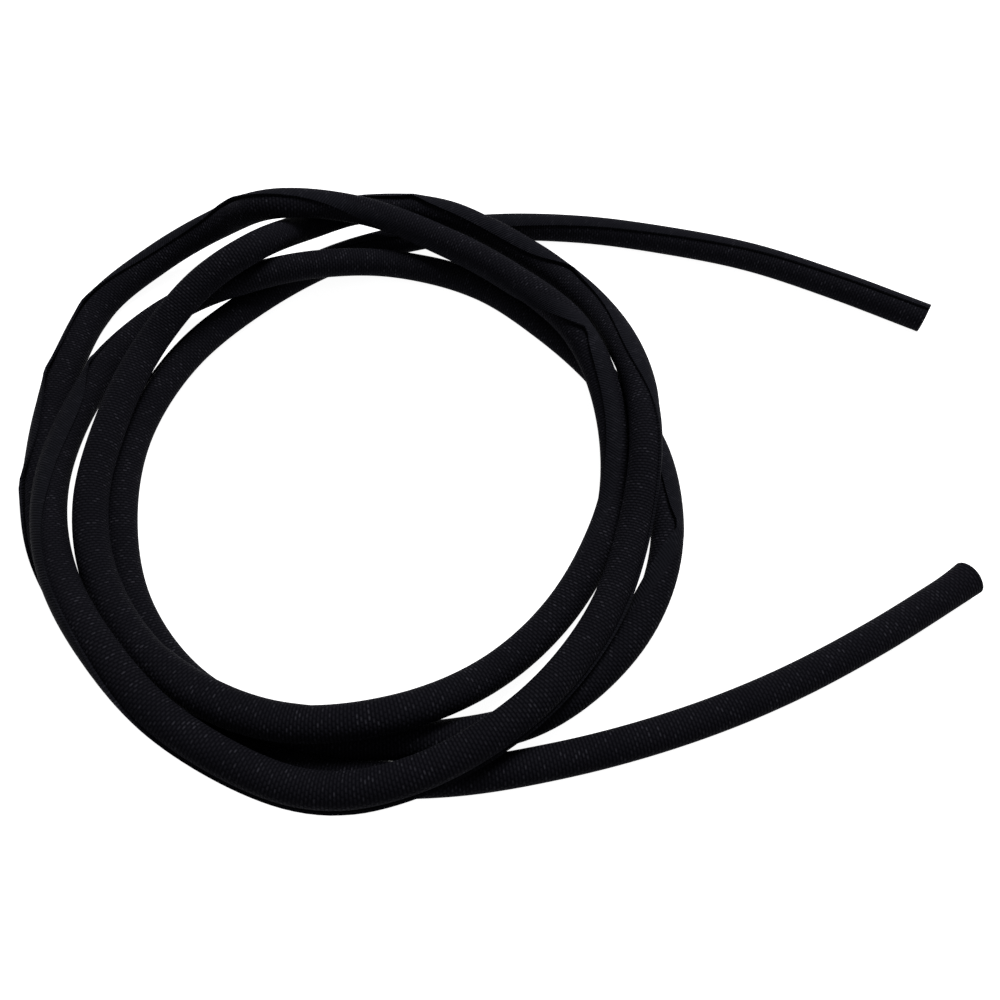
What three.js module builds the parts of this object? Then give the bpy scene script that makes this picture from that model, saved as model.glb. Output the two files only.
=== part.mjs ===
// A self-closing woven sleeve, lying on a table in a loose coil with both ends free.
// It is one strip of woven wall, curled past a full turn so that one lengthwise edge laps over the other.
// Millimetres, +Z up, +X to the right and +Y away from the viewer.

import * as THREE from 'three';

// The section: a curl that starts at the free edge, on top of the lap, and ends under it.
const FREE_EDGE_RADIUS = 6.4;
const WALL = 0.7;
const LAP_CLEARANCE = 0.3;
const LAP_ANGLE = 90;
const FACET_ANGLE = 30;

// The free edge stands a little proud of the tube, and more at each pleat.
const EDGE_LIFT = 0.4;
const LIFTED_ANGLE = 60;
const PLEAT_LIFT = 0.7;

// How much higher the middle of a strand runs for each strand that it passes over.
const STRAND_RISE = 13;

// How far the sleeve's own weight flattens it where it lies on the table.
const TABLE_FLAT = 0.2;

const STATIONS_PER_SPAN = 2;

const COLOUR = 0x17171b;

// The route, chosen by hand and about 40 apart: x, y, strands passed over, and where the free edge lies.
// The edge's place is in degrees from the top of the tube, positive towards the outside of the coil.
const ROUTE = [
  // The far tail and the innermost left pass.
  [186.7, 89, 0, -2], [151, 109, 0, -5], [115, 126, 0, -12], [76, 137, 0, -20], [37, 144, 0, -30],
  [-4, 145, 0, -42], [-43, 138, 0, -30], [-79, 123, 0, 0], [-111, 97, 0, 30], [-135, 66, 0, 60],
  [-147.4, 28, 0, 85], [-145.4, -12, 0, 95], [-131.4, -49.4, 0, 105], [-103.5, -79.2, 0, 125],
  // Along the near side and up the right side, both on the table.
  [-64, -94.9, 0, 150], [-25, -96.3, 0, -175], [14.3, -87.5, 0, -150], [45.6, -61, 0, -110],
  [62, -25.5, 0, -30], [62, 16, 0, -10], [45, 53, 0, 20], [20, 84, 0, 55], [-11, 109.5, 0, 70],
  // Over the far tail, down the left side and over the outermost pass.
  [-48, 119.6, 0.2, 80], [-81, 111.7, 0.8, 85], [-110, 100, 1.03, 85], [-139.5, 93, 0.4, 75],
  [-160.8, 72.2, 0.12, 55], [-171, 39, 0.27, -30], [-169.5, -1, 0.8, -25], [-156, -38, 1.38, 15],
  [-133, -70, 1.7, 35], [-104, -96.5, 1.32, 85],
  // The near side and the right side, on top of the strands below.
  [-63.5, -114.3, 0.97, 110], [-28, -111, 1, 110], [7.5, -90.5, 1, 105], [33.6, -59.3, 0.75, 95],
  [48.6, -23.1, 0.65, 80], [56, 17, 1.1, 48], [53, 55, 0.9, -10], [39, 95, 0.25, 12], [13, 123, 0.25, -30],
  // Over the far tail and the pass beside it, then down on the innermost pass.
  [-23, 138, 1.07, -35], [-61, 146, 0.8, 10], [-87, 133, 0.98, 60], [-104, 106, 2.03, 100],
  [-125.4, 87.3, 1.78, 115], [-143.5, 63.6, 1.12, 125], [-151.6, 30, 1, 135], [-152.2, -11, 0.95, 145],
  [-139, -47, 0.92, 155], [-112, -77, 0.95, 165], [-75, -93.6, 1, 175], [-35, -91.4, 1, -170],
  [-1, -73, 0.25, -145],
  // The innermost right pass, then over everything at the far side.
  [26, -44, 0, -105], [43, -7, 0, -60], [44, 32, 0.6, -28], [32, 69, 1.05, -40], [6, 99.6, 1.02, -110],
  [-26, 122.6, 1.07, -115], [-63, 135, 1.5, -75], [-98, 128, 2.25, -15],
  // The outermost pass, down to the table and out to the near tail.
  [-128, 131, 1.1, -20], [-156, 119, 0.34, -15], [-177, 96, 0.02, 10], [-184, 60, 0, 20],
  [-183, 22, 0, 0], [-174, -16, 0, 60], [-157, -45, 0, 100], [-131, -74.8, 0, 120], [-97, -96.4, 0, 125],
  [-60, -107.9, 0, 130], [-19, -108.9, 0, 135], [20, -103, 0, 135], [59, -92.7, 0, 135],
  [96, -78.8, 0, 135], [133, -60.5, 0, 135], [173, -37.3, 0, 135],
];

// Pleats, where the free edge is drawn outwards to a corner: the place in spans, and the turn.
const PLEATS = [
  [18.2, 50], [27.35, 45], [33.4, 15], [40.45, 45], [42.4, 30],
  [57.9, 50], [62.6, 55], [65.1, 40], [66.1, 35], [67.5, 45],
];

const DEGREE = Math.PI / 180;
const UP = new THREE.Vector3(0, 0, 1);
const TURN_ANGLE = 360;
const ROUTE_SPANS = ROUTE.length - 1;
const CURL_ANGLE = TURN_ANGLE + LAP_ANGLE;
const CURL_FACETS = Math.max(8, Math.round(CURL_ANGLE / FACET_ANGLE));
const CURL_PITCH = WALL + LAP_CLEARANCE;
const TUBE_RADIUS = FREE_EDGE_RADIUS - CURL_PITCH / 2;
const TABLE_HEIGHT_OF_MIDDLE = TUBE_RADIUS - TABLE_FLAT;

// The route with each edge's angle counted on the short way round from the point before.
const COURSE = [ROUTE[0]];
ROUTE.slice(1).forEach(([x, y, over, edge]) => {
  const turns = Math.round((COURSE[COURSE.length - 1][3] - edge) / TURN_ANGLE);
  COURSE.push([x, y, over, edge + turns * TURN_ANGLE]);
});

// One value of a smooth curve between b and c, at share t of the way.
function smoothValue(a, b, c, d, t) {
  const slope = c - a;
  const bend = 2 * a - 5 * b + 4 * c - d;
  const twist = 3 * b - a - 3 * c + d;
  return 0.5 * (2 * b + t * (slope + t * (bend + t * twist)));
}

// A route point, carried on in a straight line past either end.
function routePoint(index) {
  if (index < 0) {
    return COURSE[0].map((value, k) => 2 * value - COURSE[1][k]);
  }
  if (index > ROUTE_SPANS) {
    return COURSE[ROUTE_SPANS].map((value, k) => 2 * value - COURSE[ROUTE_SPANS - 1][k]);
  }
  return COURSE[index];
}

// The route's values at a place counted in spans.
function routeAt(place) {
  const span = Math.min(Math.floor(place), ROUTE_SPANS - 1);
  const around = [-1, 0, 1, 2].map((step) => routePoint(span + step));
  const valueOf = (k) => smoothValue(...around.map((point) => point[k]), place - span);
  const [x, y, over, edge] = [0, 1, 2, 3].map(valueOf);
  const height = TABLE_HEIGHT_OF_MIDDLE + STRAND_RISE * Math.max(over, 0);
  return { middle: new THREE.Vector3(x, y, height), edge };
}

// The section's frame at a place: along the sleeve, up, and towards the outside of the coil.
function frameAt(place) {
  const reach = 0.02;
  const before = routeAt(Math.max(place - reach, 0)).middle;
  const after = routeAt(Math.min(place + reach, ROUTE_SPANS)).middle;
  const along = after.sub(before).normalize();
  const up = UP.clone().addScaledVector(along, -along.z).normalize();
  const outward = new THREE.Vector3().crossVectors(along, up);
  return { up, outward };
}

// Places at even shares of each span.
function stationPlaces() {
  const count = ROUTE_SPANS * STATIONS_PER_SPAN + 1;
  return Array.from({ length: count }, (_, k) => k / STATIONS_PER_SPAN);
}

// One section of the wall as a closed ring of points: the outer face of the curl, then its inner face back.
// It comes with the angle that the free edge has here.
function sectionAt(place) {
  const { middle, edge } = routeAt(place);
  const { up, outward } = frameAt(place);
  const pleat = PLEATS.find(([at]) => Math.round(at * STATIONS_PER_SPAN) === place * STATIONS_PER_SPAN);
  const start = edge + (pleat ? pleat[1] : 0);
  const lift = pleat ? PLEAT_LIFT : EDGE_LIFT;
  const point = (turn, radius, lowest) => {
    const angle = (start + turn) * DEGREE;
    const spot = middle.clone();
    spot.addScaledVector(up, radius * Math.cos(angle));
    spot.addScaledVector(outward, radius * Math.sin(angle));
    spot.z = Math.max(spot.z, lowest);
    return spot;
  };
  const outer = [];
  const inner = [];
  for (let k = 0; k <= CURL_FACETS; k += 1) {
    const turn = (k * CURL_ANGLE) / CURL_FACETS;
    const proud = lift * Math.max(0, 1 - turn / LIFTED_ANGLE) ** 2;
    const radius = FREE_EDGE_RADIUS - (CURL_PITCH * turn) / TURN_ANGLE + proud;
    const lowest = turn < TURN_ANGLE ? 0 : CURL_PITCH;
    outer.push(point(turn, radius, lowest));
    inner.push(point(turn, radius - WALL, lowest + WALL));
  }
  return { points: [...outer, ...inner.reverse()], start };
}

// The wall between one station and the next, split along the way it twists, and the cut face at each end.
function sleeveGeometry() {
  const sections = stationPlaces().map(sectionAt);
  const ring = sections[0].points.length;
  const positions = sections.flatMap(({ points }) => points.flatMap((spot) => [spot.x, spot.y, spot.z]));
  const faces = [];
  for (let s = 0; s < sections.length - 1; s += 1) {
    const edgeRises = sections[s + 1].start > sections[s].start;
    for (let k = 0; k < ring; k += 1) {
      const onOuterFace = k < ring / 2;
      const near = s * ring + k;
      const nearNext = s * ring + ((k + 1) % ring);
      const far = near + ring;
      const farNext = nearNext + ring;
      if (onOuterFace !== edgeRises) {
        faces.push(near, nearNext, farNext, near, farNext, far);
      } else {
        faces.push(near, nearNext, far, nearNext, farNext, far);
      }
    }
  }
  const last = (sections.length - 1) * ring;
  for (let k = 0; k < ring / 2 - 1; k += 1) {
    const back = ring - 1 - k;
    faces.push(k, back, back - 1, k, back - 1, k + 1);
    faces.push(last + k, last + k + 1, last + back - 1, last + k, last + back - 1, last + back);
  }
  const geometry = new THREE.BufferGeometry();
  geometry.setAttribute('position', new THREE.Float32BufferAttribute(positions, 3));
  geometry.setIndex(faces);
  geometry.computeVertexNormals();
  return geometry;
}

// The sleeve's frame has its origin on the table, under the middle of its outer bounds.
function sleeve() {
  const geometry = sleeveGeometry();
  geometry.computeBoundingBox();
  const centre = geometry.boundingBox.getCenter(new THREE.Vector3());
  geometry.translate(-centre.x, -centre.y, 0);
  const material = new THREE.MeshStandardMaterial({ color: COLOUR, roughness: 0.75, metalness: 0 });
  const mesh = new THREE.Mesh(geometry, material);
  mesh.name = 'sleeve';
  return mesh;
}

const part = new THREE.Group();
part.add(sleeve());

export default part;
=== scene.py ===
"""A self-closing woven sleeve in a loose coil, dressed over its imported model."""

import math

import bpy
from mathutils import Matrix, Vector


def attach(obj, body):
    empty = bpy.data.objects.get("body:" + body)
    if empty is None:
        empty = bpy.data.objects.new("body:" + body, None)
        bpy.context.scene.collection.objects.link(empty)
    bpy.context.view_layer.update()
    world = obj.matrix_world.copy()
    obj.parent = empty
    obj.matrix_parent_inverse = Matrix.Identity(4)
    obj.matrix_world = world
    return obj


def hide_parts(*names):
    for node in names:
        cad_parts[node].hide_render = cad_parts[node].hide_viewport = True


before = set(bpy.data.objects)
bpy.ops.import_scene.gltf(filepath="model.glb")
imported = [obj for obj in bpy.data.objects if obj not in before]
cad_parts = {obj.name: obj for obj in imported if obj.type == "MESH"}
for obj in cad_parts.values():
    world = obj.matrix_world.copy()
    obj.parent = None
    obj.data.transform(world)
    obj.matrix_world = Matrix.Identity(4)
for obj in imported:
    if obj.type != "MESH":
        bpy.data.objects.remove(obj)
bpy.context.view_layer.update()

MM = 0.001
UP = Vector((0, 0, 1))

# The section of the wall, in millimetres, as in the part's source.
FREE_EDGE_RADIUS = 6.4
WALL = 0.7
LAP_CLEARANCE = 0.3
CURL_PITCH = WALL + LAP_CLEARANCE
TURN_ANGLE = 360
LAP_ANGLE = 90
CURL_ANGLE = TURN_ANGLE + LAP_ANGLE
TABLE_FLAT = 0.2
TABLE_HEIGHT_OF_MIDDLE = FREE_EDGE_RADIUS - CURL_PITCH / 2 - TABLE_FLAT
STRAND_RISE = 13

# The free edge stands proud of the tube, and is drawn out to a corner at each pleat.
EDGE_LIFT = 0.1
LIFTED_ANGLE = 60
PLEAT_LIFT = 1.1
PLEAT_REACH = 9
PLEAT_LIFT_REACH = 14

# The yarns stand this proud of the plain wall.
YARN_HEIGHT = 0.25

# Stretches, in spans, where the flap bellies out beside the free edge, and how far.
BELLIES = [(38.4, 41.6, 1.6), (50.8, 52.3, 1.0), (57.0, 60.0, 0.8), (62.5, 66.5, 0.6)]
BELLY_ANGLE = 170

# On the table, the lap's inner layer rests on the outer one from this many degrees before a full turn.
LAP_END_MARGIN = 15

# The near tail's mouth gapes a little, towards the far side and up.
FLARE = 1.0
FLARE_LENGTH = 14
FLARE_ANGLE = -60

# Where the route's own origin lies in the part's frame.
ROUTE_ORIGIN = (0.45, -15.68)

# The route, as listed: x, y, strands passed over, and where the free edge lies.
# The edge's place is in degrees from the top of the tube, positive towards the outside of the coil.
ROUTE = [
    # The far tail and the innermost left pass.
    (186.7, 89, 0, -2), (151, 109, 0, -5), (115, 126, 0, -12), (76, 137, 0, -20), (37, 144, 0, -30),
    (-4, 145, 0, -42), (-43, 138, 0, -30), (-79, 123, 0, 0), (-111, 97, 0, 30), (-135, 66, 0, 60),
    (-147.4, 28, 0, 85), (-145.4, -12, 0, 95), (-131.4, -49.4, 0, 105), (-103.5, -79.2, 0, 125),
    # Along the near side and up the right side, both on the table.
    (-64, -94.9, 0, 150), (-25, -96.3, 0, -175), (14.3, -87.5, 0, -150), (45.6, -61, 0, -110),
    (62, -25.5, 0, -30), (62, 16, 0, -10), (45, 53, 0, 20), (20, 84, 0, 55), (-11, 109.5, 0, 70),
    # Over the far tail, down the left side and over the outermost pass.
    (-48, 119.6, 0.2, 80), (-81, 111.7, 0.8, 85), (-110, 100, 1.03, 85), (-139.5, 93, 0.4, 75),
    (-160.8, 72.2, 0.12, 55), (-171, 39, 0.27, -30), (-169.5, -1, 0.8, -25), (-156, -38, 1.38, 15),
    (-133, -70, 1.7, 35), (-104, -96.5, 1.32, 85),
    # The near side and the right side, on top of the strands below.
    (-63.5, -114.3, 0.97, 110), (-28, -111, 1, 110), (7.5, -90.5, 1, 105), (33.6, -59.3, 0.75, 95),
    (48.6, -23.1, 0.65, 80), (56, 17, 1.1, 48), (53, 55, 0.9, -10), (39, 95, 0.25, 12),
    (13, 123, 0.25, -30),
    # Over the far tail and the pass beside it, then down on the innermost pass.
    (-23, 138, 1.07, -35), (-61, 146, 0.8, 10), (-87, 133, 0.98, 60), (-104, 106, 2.03, 100),
    (-125.4, 87.3, 1.78, 115), (-143.5, 63.6, 1.12, 125), (-151.6, 30, 1, 135), (-152.2, -11, 0.95, 145),
    (-139, -47, 0.92, 155), (-112, -77, 0.95, 165), (-75, -93.6, 1, 175), (-35, -91.4, 1, -170),
    (-1, -73, 0.25, -145),
    # The innermost right pass, then over everything at the far side.
    (26, -44, 0, -105), (43, -7, 0, -60), (44, 32, 0.6, -28), (32, 69, 1.05, -40), (6, 99.6, 1.02, -110),
    (-26, 122.6, 1.07, -115), (-63, 135, 1.5, -75), (-98, 128, 2.25, -15),
    # The outermost pass, down to the table and out to the near tail.
    (-128, 131, 1.1, -20), (-156, 119, 0.34, -15), (-177, 96, 0.02, 10), (-184, 60, 0, 20),
    (-183, 22, 0, 0), (-174, -16, 0, 60), (-157, -45, 0, 100), (-131, -74.8, 0, 120), (-97, -96.4, 0, 125),
    (-60, -107.9, 0, 130), (-19, -108.9, 0, 135), (20, -103, 0, 135), (59, -92.7, 0, 135),
    (96, -78.8, 0, 135), (133, -60.5, 0, 135), (173, -37.3, 0, 135),
]
ROUTE_SPANS = len(ROUTE) - 1

# Pleats, where the free edge is drawn outwards to a corner: the place in spans, and the turn.
PLEATS = [
    (18.2, 50), (27.35, 45), (33.4, 15), (40.45, 45), (42.4, 30),
    (57.9, 50), (62.6, 55), (65.1, 40), (66.1, 35), (67.5, 45),
]

# How finely the wall is modelled, and how finely its route is followed.
STATION_SPACING = 3.3
OUTER_FACETS = 60
INNER_FACETS = 24
PATH_SAMPLES_PER_SPAN = 16

# Edges sharper than this are shaded as edges.
RIM_ANGLE = math.radians(50)

# The weave: ribs across the sleeve, each broken into short floats that step sideways row by row.
RIB_PITCH = 1.2
RIB_SHARPNESS = 1.3
FLOAT_PITCH = 2.2
FLOAT_STEP = 0.5
WEAVE_DEPTH = 0.00025

# Beside the free edge the flap is plainer, with slanting ribs, and turns into the weave between these widths.
FLAP_SLANT = 0.7
PLAIN_WIDTH = 4.2
WOVEN_WIDTH = 7.0
FLAP_WEAVE_SHARE = 0.4

# Painted highlight: how much lighter the floats' crowns are painted, and the few floats that get a painted
# glint.
FLOAT_CROWN_HIGHLIGHT = 0.26
GLINT_BRIGHTNESS = 1.1
GLINT_RARITY = 8.0
GLINT_SHARPNESS = 4.0

# Slow patches, as the cloth catches the light a little more or less.
PATCH_SCALE = 0.045
PATCH_DETAIL = 2.0
PATCH_RANGE = 0.9
PATCH_LEAST = 0.55

# The wall's colours and finish: the gaps between floats with painted shade, the brightest float with a
# painted highlight, and the plain flap.
SHADED_GAP_COLOUR = (0.0045, 0.0044, 0.0064, 1)
LIT_FLOAT_COLOUR = (0.0400, 0.0390, 0.0490, 1)
FLAP_COLOUR = (0.0100, 0.0103, 0.0137, 1)
WALL_ROUGHNESS = 0.55
WALL_GLOSS = 0.004

# The camera looks over the near side, down at the coil.
CAMERA_ELEVATION = math.radians(60)
CAMERA_DISTANCE = 0.346
CAMERA_TARGET = Vector((ROUTE_ORIGIN[0], ROUTE_ORIGIN[1], 0)) * MM
CAMERA_LENS = 31.5
SENSOR_WIDTH = 36
NEAREST_SEEN = 0.01

# The set: a white floor just under the sleeve, two soft lamps, and a dim world that looks white.
WHITE = (1, 1, 1, 1)
PAPER_COLOUR = (0.85, 0.85, 0.85, 1)
FLOOR_GLOW = 0.95
FLOOR_HALF = 3.0
FLOOR_DROP = 0.0001
KEY_LAMP = {"place": (0.25, 0.45, 0.85), "size": 0.4, "watts": 7.5}
FILL_LAMP = {"place": (-0.3, -0.6, 1.1), "size": 0.8, "watts": 0.9}
WORLD_COLOUR = (0.06, 0.06, 0.066, 1)


def unwound(route):
    """The route with each edge's angle counted on the short way round from the point before."""
    course = [route[0]]
    for x, y, over, edge in route[1:]:
        turns = round((course[-1][3] - edge) / TURN_ANGLE)
        course.append((x, y, over, edge + turns * TURN_ANGLE))
    return course


COURSE = unwound(ROUTE)


def smooth_value(a, b, c, d, t):
    """One value of a smooth curve between b and c, at share t of the way."""
    slope = c - a
    bend = 2 * a - 5 * b + 4 * c - d
    twist = 3 * b - a - 3 * c + d
    return 0.5 * (2 * b + t * (slope + t * (bend + t * twist)))


def route_point(index):
    """A route point, carried on in a straight line past either end."""
    if index < 0:
        return tuple(2 * a - b for a, b in zip(COURSE[0], COURSE[1]))
    if index > ROUTE_SPANS:
        return tuple(2 * a - b for a, b in zip(COURSE[ROUTE_SPANS], COURSE[ROUTE_SPANS - 1]))
    return COURSE[index]


def route_at(place):
    """The middle of the sleeve in millimetres, and its edge's angle, at a place counted in spans."""
    span = min(int(place), ROUTE_SPANS - 1)
    around = [route_point(span + step) for step in (-1, 0, 1, 2)]
    x, y, over, edge = (smooth_value(*values, place - span) for values in zip(*around))
    height = TABLE_HEIGHT_OF_MIDDLE + STRAND_RISE * max(over, 0)
    return Vector((x + ROUTE_ORIGIN[0], y + ROUTE_ORIGIN[1], height)), edge


def frame_at(place):
    """The directions up and towards the outside of the coil, square to the sleeve."""
    reach = 0.02
    before, _ = route_at(max(place - reach, 0))
    after, _ = route_at(min(place + reach, ROUTE_SPANS))
    along = (after - before).normalized()
    up = (UP - along * along.z).normalized()
    return up, along.cross(up)


def route_samples():
    """Places along the route with the distance travelled to each."""
    count = ROUTE_SPANS * PATH_SAMPLES_PER_SPAN
    places = [k / PATH_SAMPLES_PER_SPAN for k in range(count + 1)]
    travelled = [0.0]
    last, _ = route_at(0)
    for place in places[1:]:
        here, _ = route_at(place)
        travelled.append(travelled[-1] + (here - last).length)
        last = here
    return places, travelled


PLACES, TRAVELLED = route_samples()
SLEEVE_LENGTH = TRAVELLED[-1]


def place_at_distance(distance):
    """The place, in spans, at a distance along the sleeve."""
    low, high = 0, len(TRAVELLED) - 1
    while high - low > 1:
        middle = (low + high) // 2
        if TRAVELLED[middle] > distance:
            high = middle
        else:
            low = middle
    share = (distance - TRAVELLED[low]) / (TRAVELLED[high] - TRAVELLED[low])
    return PLACES[low] + share * (PLACES[high] - PLACES[low])


def distance_at_place(place):
    """The distance along the sleeve to a place in spans."""
    index = min(int(place * PATH_SAMPLES_PER_SPAN), len(PLACES) - 2)
    share = place * PATH_SAMPLES_PER_SPAN - index
    return TRAVELLED[index] + share * (TRAVELLED[index + 1] - TRAVELLED[index])


PLEAT_SPOTS = [(distance_at_place(place), turn) for place, turn in PLEATS]


def pleat_pull(distance):
    """How far the nearby pleats turn the free edge, and how strongly they lift it."""
    turn = 0.0
    strength = 0.0
    for spot, full_turn in PLEAT_SPOTS:
        away = abs(distance - spot)
        turn += full_turn * math.exp(-away / PLEAT_REACH)
        strength = max(strength, math.exp(-away / PLEAT_LIFT_REACH))
    return turn, strength


def belly_at(place):
    """How far the flap bellies out at a place in spans."""
    most = 0.0
    for first, last, height in BELLIES:
        if first < place < last:
            share = (place - first) / (last - first)
            most = max(most, height * math.sqrt(math.sin(math.pi * share)))
    return most


def flare_at(distance, angle):
    """How much wider the wall runs near the near tail's mouth, at an angle from the top."""
    share = max(0.0, 1 - (SLEEVE_LENGTH - distance) / FLARE_LENGTH)
    return FLARE * share ** 2 * max(0.0, math.cos(math.radians(angle - FLARE_ANGLE)))


def section_at(distance):
    """One ring of the wall, the outer face and then the inner one back, each point with its place around."""
    place = place_at_distance(distance)
    middle, edge = route_at(place)
    up, outward = frame_at(place)
    pleat_turn, strength = pleat_pull(distance)
    start = edge + pleat_turn
    lift = EDGE_LIFT + PLEAT_LIFT * strength
    belly = belly_at(place)

    def spot_at(turn, inset):
        angle = start + turn
        proud = lift * max(0.0, 1 - turn / LIFTED_ANGLE) ** 2
        bellied = belly * math.sin(math.pi * min(turn / BELLY_ANGLE, 1))
        wall = FREE_EDGE_RADIUS - CURL_PITCH * turn / TURN_ANGLE + flare_at(distance, angle)
        radius = wall + proud + bellied + (YARN_HEIGHT if inset == 0 else -inset)
        lowest = (CURL_PITCH if turn > TURN_ANGLE - LAP_END_MARGIN else 0) + inset
        across = up * math.cos(math.radians(angle)) + outward * math.sin(math.radians(angle))
        spot = middle + across * radius
        spot.z = max(spot.z, lowest)
        return spot

    ring = []
    for k in range(OUTER_FACETS + 1):
        turn = CURL_ANGLE * k / OUTER_FACETS
        ring.append((spot_at(turn, 0), math.radians(turn) * FREE_EDGE_RADIUS))
    for k in range(INNER_FACETS, -1, -1):
        turn = CURL_ANGLE * k / INNER_FACETS
        ring.append((spot_at(turn, WALL), math.radians(turn) * FREE_EDGE_RADIUS))
    return ring


def strip_between(outer, inner):
    """Faces that close a ring's cut end, from the outer points to the inner ones."""
    faces = []
    i, j = 0, 0
    while i < len(outer) - 1 or j < len(inner) - 1:
        outer_next = (i + 1) / (len(outer) - 1)
        inner_next = (j + 1) / (len(inner) - 1)
        if j == len(inner) - 1 or (i < len(outer) - 1 and outer_next <= inner_next):
            faces.append((outer[i], outer[i + 1], inner[j]))
            i += 1
        else:
            faces.append((outer[i], inner[j + 1], inner[j]))
            j += 1
    return faces


def sleeve_mesh():
    """The whole curled wall as one closed mesh, with a weave map in millimetres."""
    count = round(SLEEVE_LENGTH / STATION_SPACING)
    distances = [SLEEVE_LENGTH * k / count for k in range(count + 1)]
    rings = [section_at(distance) for distance in distances]
    size = len(rings[0])
    points = [spot * MM for ring in rings for spot, _ in ring]
    faces = []
    weave = []
    for s in range(count):
        for k in range(size):
            after = (k + 1) % size
            near, near_next = s * size + k, s * size + after
            far, far_next = near + size, near_next + size
            faces.append((near, near_next, far_next, far))
            around, around_next = rings[s][k][1], rings[s][after][1]
            weave.append([
                (around, distances[s]), (around_next, distances[s]),
                (around_next, distances[s + 1]), (around, distances[s + 1]),
            ])
    outer = list(range(OUTER_FACETS + 1))
    inner = list(range(size - 1, OUTER_FACETS, -1))
    last = count * size
    for a, b, c in strip_between(outer, inner):
        for shift, distance, corners in ((0, 0.0, (a, c, b)), (last, SLEEVE_LENGTH, (a, b, c))):
            faces.append(tuple(corner + shift for corner in corners))
            weave.append([(rings[0][corner][1], distance) for corner in corners])
    mesh = bpy.data.meshes.new("braided_sleeve")
    mesh.from_pydata(points, [], faces)
    layer = mesh.uv_layers.new(name="weave")
    flat = [value for face in weave for corner in face for value in corner]
    layer.data.foreach_set("uv", flat)
    mesh.polygons.foreach_set("use_smooth", [True] * len(mesh.polygons))
    mesh.set_sharp_from_angle(angle=RIM_ANGLE)
    mesh.update()
    return mesh


class Nodes:
    """A short way to add and link the shader nodes of a material or world."""

    def __init__(self, owner):
        owner.use_nodes = True
        self.tree = owner.node_tree
        self.tree.nodes.clear()

    def add(self, kind, **settings):
        node = self.tree.nodes.new(kind)
        for name, value in settings.items():
            setattr(node, name, value)
        return node

    def link(self, source, target):
        self.tree.links.new(source, target)

    def math(self, operation, *values):
        node = self.add("ShaderNodeMath", operation=operation)
        for socket, value in zip(node.inputs, values):
            if isinstance(value, (int, float)):
                socket.default_value = value
            else:
                self.link(value, socket)
        return node.outputs[0]


def bulge(nodes, value):
    """A smooth bulge from 0 to 1 and back over each whole step of a value."""
    return nodes.math("SINE", nodes.math("MULTIPLY", nodes.math("FRACT", value), math.pi))


def mixed_colour(nodes, first, second, share):
    """A colour between two, each a constant or a socket, at a share of the way."""
    mix = nodes.add("ShaderNodeMix", data_type="RGBA")
    for socket, colour in ((mix.inputs["A"], first), (mix.inputs["B"], second)):
        if isinstance(colour, tuple):
            socket.default_value = colour
        else:
            nodes.link(colour, socket)
    nodes.link(share, mix.inputs["Factor"])
    return mix.outputs["Result"]


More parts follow.
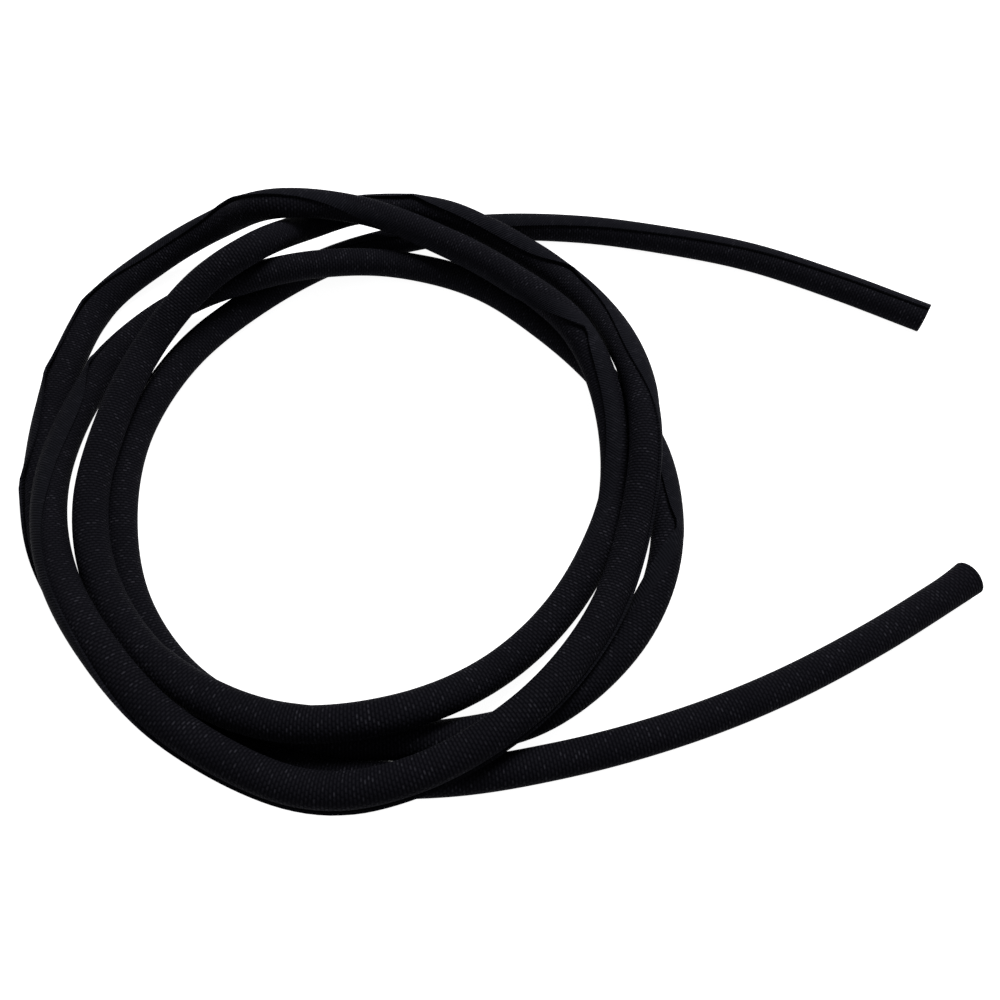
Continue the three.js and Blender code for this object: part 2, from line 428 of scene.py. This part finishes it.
def weave_material():
    """Near-black woven monofilament: ribs of short floats, with painted shade between them, painted
    highlights on their crowns and painted glints on a few.
    """
    material = bpy.data.materials.new("woven_wall")
    nodes = Nodes(material)
    weave = nodes.add("ShaderNodeUVMap", uv_map="weave")
    split = nodes.add("ShaderNodeSeparateXYZ")
    nodes.link(weave.outputs["UV"], split.inputs[0])
    around, along = split.outputs[0], split.outputs[1]

    # Each float's crown, as a height from 0 to 1.
    row = nodes.math("DIVIDE", along, RIB_PITCH)
    row_number = nodes.math("FLOOR", row)
    step = nodes.math("MULTIPLY", row_number, FLOAT_STEP)
    column = nodes.math("ADD", nodes.math("DIVIDE", around, FLOAT_PITCH), step)
    rib = nodes.math("POWER", bulge(nodes, row), RIB_SHARPNESS)
    floats = nodes.math("MULTIPLY", rib, nodes.math("SQRT", bulge(nodes, column)))

    # The flap's slanting ribs, and how far from the free edge they give way to the floats.
    slant = nodes.math("ADD", along, nodes.math("MULTIPLY", around, FLAP_SLANT))
    stripes = bulge(nodes, nodes.math("DIVIDE", slant, RIB_PITCH))
    woven = nodes.add("ShaderNodeMapRange", interpolation_type="SMOOTHSTEP")
    nodes.link(around, woven.inputs["Value"])
    woven.inputs["From Min"].default_value = PLAIN_WIDTH
    woven.inputs["From Max"].default_value = WOVEN_WIDTH
    relief = nodes.add("ShaderNodeMix", data_type="FLOAT")
    nodes.link(woven.outputs[0], relief.inputs["Factor"])
    nodes.link(stripes, relief.inputs["A"])
    nodes.link(floats, relief.inputs["B"])
    height = relief.outputs["Result"]
    bump = nodes.add("ShaderNodeBump")
    bump.inputs["Distance"].default_value = WEAVE_DEPTH
    nodes.link(height, bump.inputs["Height"])

    # A number of its own for each float, so that a few get a painted glint in their colour.
    cell = nodes.add("ShaderNodeCombineXYZ")
    nodes.link(nodes.math("FLOOR", column), cell.inputs[0])
    nodes.link(row_number, cell.inputs[1])
    luck = nodes.add("ShaderNodeTexWhiteNoise", noise_dimensions="2D")
    nodes.link(cell.outputs[0], luck.inputs["Vector"])
    rare = nodes.math("POWER", luck.outputs["Value"], GLINT_RARITY)
    glint = nodes.math("MULTIPLY", rare, nodes.math("POWER", height, GLINT_SHARPNESS))
    bright = nodes.math("MULTIPLY", glint, GLINT_BRIGHTNESS)
    # Painted highlight: each float's colour gets lighter towards its crown, and lightest where a painted
    # glint sits.
    painted_lightness = nodes.math("ADD", bright, nodes.math("MULTIPLY", height, FLOAT_CROWN_HIGHLIGHT))
    painted_lightness = nodes.math("MINIMUM", painted_lightness, 1.0)

    patches = nodes.add("ShaderNodeTexNoise")
    patches.inputs["Scale"].default_value = PATCH_SCALE
    patches.inputs["Detail"].default_value = PATCH_DETAIL
    nodes.link(weave.outputs["UV"], patches.inputs["Vector"])
    patch = nodes.math("ADD", nodes.math("MULTIPLY", patches.outputs[0], PATCH_RANGE), PATCH_LEAST)

    # Painted shade in the gaps between floats and painted highlight on their crowns, varied by the patches.
    cloth = mixed_colour(nodes, SHADED_GAP_COLOUR, LIT_FLOAT_COLOUR, nodes.math("MULTIPLY", painted_lightness, patch))
    past_flap = nodes.math("MULTIPLY", woven.outputs[0], 1 - FLAP_WEAVE_SHARE)
    cloth_share = nodes.math("ADD", past_flap, FLAP_WEAVE_SHARE)
    shader = nodes.add("ShaderNodeBsdfPrincipled")
    shader.inputs["Roughness"].default_value = WALL_ROUGHNESS
    shader.inputs["Specular IOR Level"].default_value = WALL_GLOSS
    nodes.link(mixed_colour(nodes, FLAP_COLOUR, cloth, cloth_share), shader.inputs["Base Color"])
    nodes.link(bump.outputs[0], shader.inputs["Normal"])
    output = nodes.add("ShaderNodeOutputMaterial")
    nodes.link(shader.outputs[0], output.inputs["Surface"])
    return material


def make_sleeve():
    """The sleeve itself, hung on the root body in place of its plain solid, which is hidden."""
    sleeve = bpy.data.objects.new("braided_sleeve", sleeve_mesh())
    bpy.context.collection.objects.link(sleeve)
    sleeve.data.materials.append(weave_material())
    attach(sleeve, "root")
    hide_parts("sleeve")


def make_camera():
    """The photograph's view, from the near side and well above."""
    data = bpy.data.cameras.new("camera")
    data.lens = CAMERA_LENS
    data.sensor_width = SENSOR_WIDTH
    data.clip_start = NEAREST_SEEN
    camera = bpy.data.objects.new("camera", data)
    bpy.context.collection.objects.link(camera)
    back = Vector((0, -math.cos(CAMERA_ELEVATION), math.sin(CAMERA_ELEVATION)))
    camera.location = CAMERA_TARGET + back * CAMERA_DISTANCE
    camera.rotation_euler = (-back).to_track_quat("-Z", "Y").to_euler()
    bpy.context.scene.camera = camera


def seen_not_lit(nodes):
    """1 for a camera, glossy or transmission ray, which shows the set, and 0 for one that lights."""
    path = nodes.add("ShaderNodeLightPath")
    seen = nodes.math("MAXIMUM", path.outputs["Is Camera Ray"], path.outputs["Is Glossy Ray"])
    return nodes.math("MAXIMUM", seen, path.outputs["Is Transmission Ray"])


def floor_material():
    """White paper: it takes the shadow, and reads as white where nothing shades it."""
    material = bpy.data.materials.new("white_floor")
    nodes = Nodes(material)
    paper = nodes.add("ShaderNodeBsdfDiffuse")
    paper.inputs["Color"].default_value = PAPER_COLOUR
    glow = nodes.add("ShaderNodeEmission")
    glow.inputs["Color"].default_value = WHITE
    nodes.link(nodes.math("MULTIPLY", seen_not_lit(nodes), FLOOR_GLOW), glow.inputs["Strength"])
    both = nodes.add("ShaderNodeAddShader")
    nodes.link(paper.outputs[0], both.inputs[0])
    nodes.link(glow.outputs[0], both.inputs[1])
    output = nodes.add("ShaderNodeOutputMaterial")
    nodes.link(both.outputs[0], output.inputs["Surface"])
    return material


def make_floor():
    """A wide white floor just under the sleeve."""
    signs = ((-1, -1), (1, -1), (1, 1), (-1, 1))
    corners = [(x * FLOOR_HALF, y * FLOOR_HALF, -FLOOR_DROP) for x, y in signs]
    mesh = bpy.data.meshes.new("floor")
    mesh.from_pydata(corners, [], [(0, 1, 2, 3)])
    floor = bpy.data.objects.new("floor", mesh)
    floor.data.materials.append(floor_material())
    bpy.context.collection.objects.link(floor)


def add_lamp(name, place, size, watts):
    """A soft square lamp that faces the coil."""
    data = bpy.data.lights.new(name, "AREA")
    data.energy = watts
    data.size = size
    lamp = bpy.data.objects.new(name, data)
    lamp.location = place
    lamp.rotation_euler = (-Vector(place)).to_track_quat("-Z", "Y").to_euler()
    bpy.context.collection.objects.link(lamp)


def make_light():
    """Plain soft studio light: one lamp at the far side, and a broad weak one in front."""
    add_lamp("key", **KEY_LAMP)
    add_lamp("fill", **FILL_LAMP)
    world = bpy.data.worlds.new("world")
    nodes = Nodes(world)
    soft = nodes.add("ShaderNodeBackground")
    soft.inputs["Color"].default_value = WORLD_COLOUR
    white = nodes.add("ShaderNodeBackground")
    white.inputs["Color"].default_value = WHITE
    mix = nodes.add("ShaderNodeMixShader")
    nodes.link(seen_not_lit(nodes), mix.inputs[0])
    nodes.link(soft.outputs[0], mix.inputs[1])
    nodes.link(white.outputs[0], mix.inputs[2])
    output = nodes.add("ShaderNodeOutputWorld")
    nodes.link(mix.outputs[0], output.inputs["Surface"])
    bpy.context.scene.world = world


make_camera()
make_sleeve()
make_floor()
make_light()
bpy.context.scene.view_settings.view_transform = "Standard"
